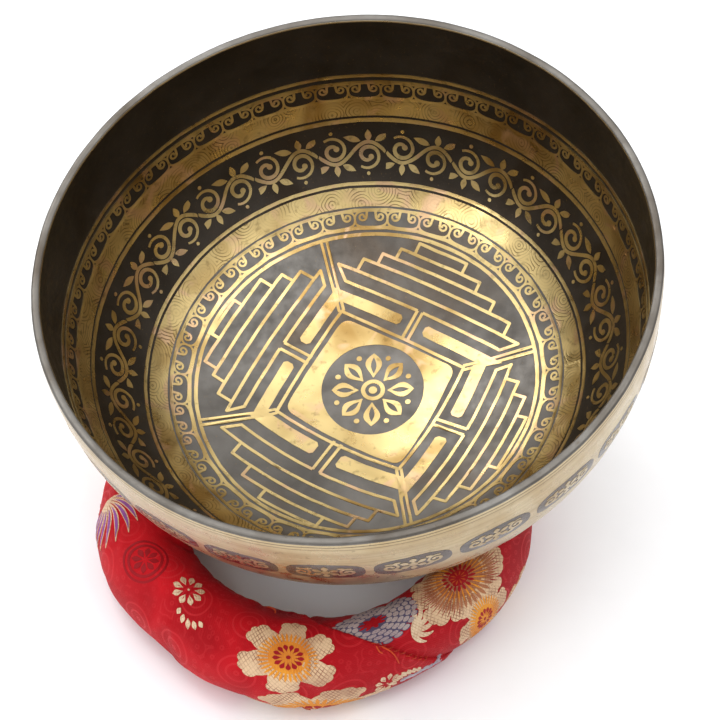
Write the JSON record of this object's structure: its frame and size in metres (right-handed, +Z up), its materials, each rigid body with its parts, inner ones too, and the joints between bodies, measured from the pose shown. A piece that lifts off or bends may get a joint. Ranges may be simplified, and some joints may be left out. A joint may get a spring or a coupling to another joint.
{
  "type": "singing bowl on ring cushion",
  "caption": "Hammered brass singing bowl with an etched inside, tilted on a stuffed brocade ring cushion that it lifts off.",
  "frame": {"origin": "middle of the whole set's footprint box, on the surface that the cushion stands on", "axes": "+Z up; -Y is the front, towards which the bowl's mouth leans; +X to the right seen from the front"},
  "size_m": [0.251, 0.2527, 0.1764],
  "materials": {
    "bowl_brass": "aged hammered brass, etched dark patina with polished raised bands inside",
    "cotton_stuffing": "loose cotton padding",
    "red_brocade": "silk satin brocade with woven cream and gold flowers",
    "orange_thread": "sewing thread",
    "red_thread": "sewing thread"
  },
  "bodies": {
    "cushion": {"cushion_stuffing": "cotton_stuffing", "cushion_cover": "red_brocade", "cover_lapped_end": "red_brocade", "join_stitches": "orange_thread", "seam_stitches": "red_thread"},
    "bowl": {"bowl_shell": "bowl_brass"}
  },
  "joints": [
    {"name": "bowl_lift", "type": "slide", "parent": "cushion", "child": "bowl", "axis": [0, 0, 1], "range_m": [0, 0.12]}
  ]
}
